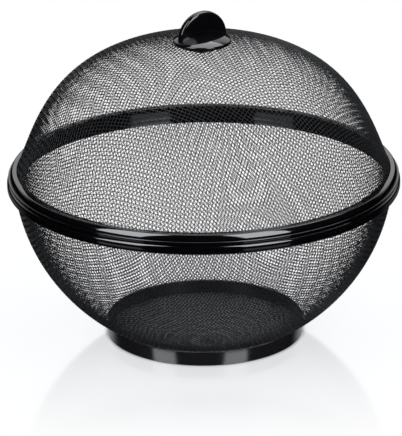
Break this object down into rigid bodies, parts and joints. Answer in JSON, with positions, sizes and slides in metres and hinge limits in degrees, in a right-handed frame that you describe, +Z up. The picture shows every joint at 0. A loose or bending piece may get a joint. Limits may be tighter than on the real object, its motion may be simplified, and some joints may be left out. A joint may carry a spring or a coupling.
{
  "type": "fruit basket with mesh cover",
  "caption": "Round wire-mesh bowl on a foot ring, closed by a lift-off wire-mesh dome with a half-round knob; rolled rims hold the mesh edges and seat the lid.",
  "frame": {"origin": "centre of the foot ring's base, on the surface that the basket stands on", "axes": "+Z up along the axis of the bowl and the lid; -Y is the side that the picture sees"},
  "size_m": [0.26, 0.26, 0.2232],
  "materials": {
    "wire": "black enamelled steel wire, semi-gloss",
    "rim": "gloss black enamel on rolled sheet steel",
    "foot": "satin black enamel on a steel strip",
    "knob": "gloss black moulded plastic",
    "screw": "zinc-plated steel"
  },
  "bodies": {
    "bowl": {"foot_ring": "foot", "bowl_mesh": "wire", "bowl_rim": "rim"},
    "lid": {"lid_rim": "rim", "lid_mesh": "wire", "knob": "knob", "knob_screw": "screw", "knob_washer": "screw"}
  },
  "joints": [
    {"name": "lid_lift", "type": "slide", "parent": "bowl", "child": "lid", "axis": [0, 0, 1], "range_m": [0, 0.2]}
  ]
}
